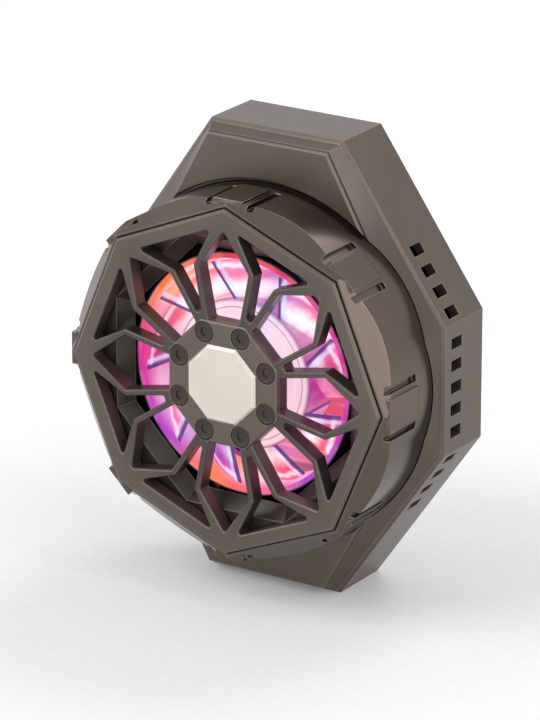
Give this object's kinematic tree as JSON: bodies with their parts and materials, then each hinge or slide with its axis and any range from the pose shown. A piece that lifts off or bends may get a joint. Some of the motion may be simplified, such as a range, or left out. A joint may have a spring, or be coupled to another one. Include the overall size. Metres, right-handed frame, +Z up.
{
  "type": "phone cooling fan",
  "caption": "Magnetic clip-on phone cooler: long octagon body, round drum with a lit fan behind a web grille, thermoelectric cold plate and USB-C socket.",
  "frame": {"origin": "centre of the bounding box's base, under the hub axis, with the fan standing on its lower end", "axes": "+X to the right seen from the front, +Y towards the phone, +Z up along the long side"},
  "size_m": [0.061, 0.028, 0.074],
  "materials": {
    "shell_paint": "satin bronze-brown metallic paint on moulded ABS",
    "wing_paint": "satin warm taupe metallic paint on moulded ABS",
    "drum_paint": "semi-gloss dark bronze metallic paint",
    "grille_paint": "satin dark bronze metallic paint",
    "hub_paint": "satin dark bronze metallic paint",
    "badge_metal": "satin champagne anodised, bright bevel",
    "black_screw": "black oxide steel",
    "deck_plastic": "matt dark grey-brown moulding",
    "cover_plastic": "fine-textured black moulding",
    "clear_lit": "clear acrylic, lit by the LEDs",
    "clear_impeller": "clear polycarbonate, lit by the LEDs",
    "frame_plastic": "milky clear moulding, lit by the LEDs",
    "board_black": "black solder mask",
    "board_green": "green solder mask",
    "led_white": "white LED package",
    "bronze_bush": "sintered bronze",
    "pad_plastic": "natural low-friction plastic",
    "shaft_steel": "ground steel",
    "core_steel": "stacked silicon-steel laminations",
    "coil_copper": "enamelled copper wire",
    "ferrite": "sintered ferrite",
    "yoke_steel": "drawn steel, thin zinc plate",
    "sink_aluminium": "extruded aluminium",
    "ceramic_white": "white alumina",
    "pellet_metal": "semiconductor pellets",
    "lead_rubber": "red silicone-sleeved wire",
    "gasket_foam": "closed-cell foam",
    "plate_aluminium": "fine-turned anodised aluminium",
    "ring_silicone": "soft black silicone",
    "magnet_nickel": "nickel-plated neodymium",
    "part_black": "moulded component bodies",
    "socket_steel": "tin-plated stamped steel",
    "tongue_black": "black liquid-crystal polymer",
    "screw_steel": "zinc-plated steel"
  },
  "bodies": {
    "housing": {"base_housing": "shell_paint", "back_cover": "cover_plastic", "wing_panel_top": "wing_paint", "wing_panel_bottom": "wing_paint", "drum_housing": "drum_paint", "front_grille": "grille_paint", "hub_plate": "hub_paint", "hub_badge": "badge_metal", "hub_screws": "black_screw", "air_deck": "deck_plastic", "light_guide": "clear_lit", "light_board": "board_black", "leds": "led_white", "fan_frame": "frame_plastic", "motor_board": "board_green", "bearing_bush": "bronze_bush", "thrust_pad": "pad_plastic", "stator_core": "core_steel", "stator_coils": "coil_copper", "heatsink": "sink_aluminium", "hot_ceramic": "ceramic_white", "cold_ceramic": "ceramic_white", "pellets": "pellet_metal", "module_leads": "lead_rubber", "insulating_gasket": "gasket_foam", "cold_plate": "plate_aluminium", "contact_ring": "ring_silicone", "magnet_segments": "magnet_nickel", "magnet_yoke": "yoke_steel", "main_board": "board_green", "board_components": "part_black", "usb_socket": "socket_steel", "usb_tongue": "tongue_black", "case_screws": "screw_steel", "drum_screws": "screw_steel", "fan_screws": "screw_steel", "heatsink_screws": "screw_steel"},
    "rotor": {"impeller": "clear_impeller", "rotor_yoke": "yoke_steel", "rotor_magnet": "ferrite", "shaft": "shaft_steel", "shaft_clip": "pad_plastic"}
  },
  "joints": [
    {"name": "fan_spin", "type": "hinge", "parent": "housing", "child": "rotor", "pos_m": [0, 0, 0.037], "axis": [0, -1, 0], "continuous": true}
  ]
}
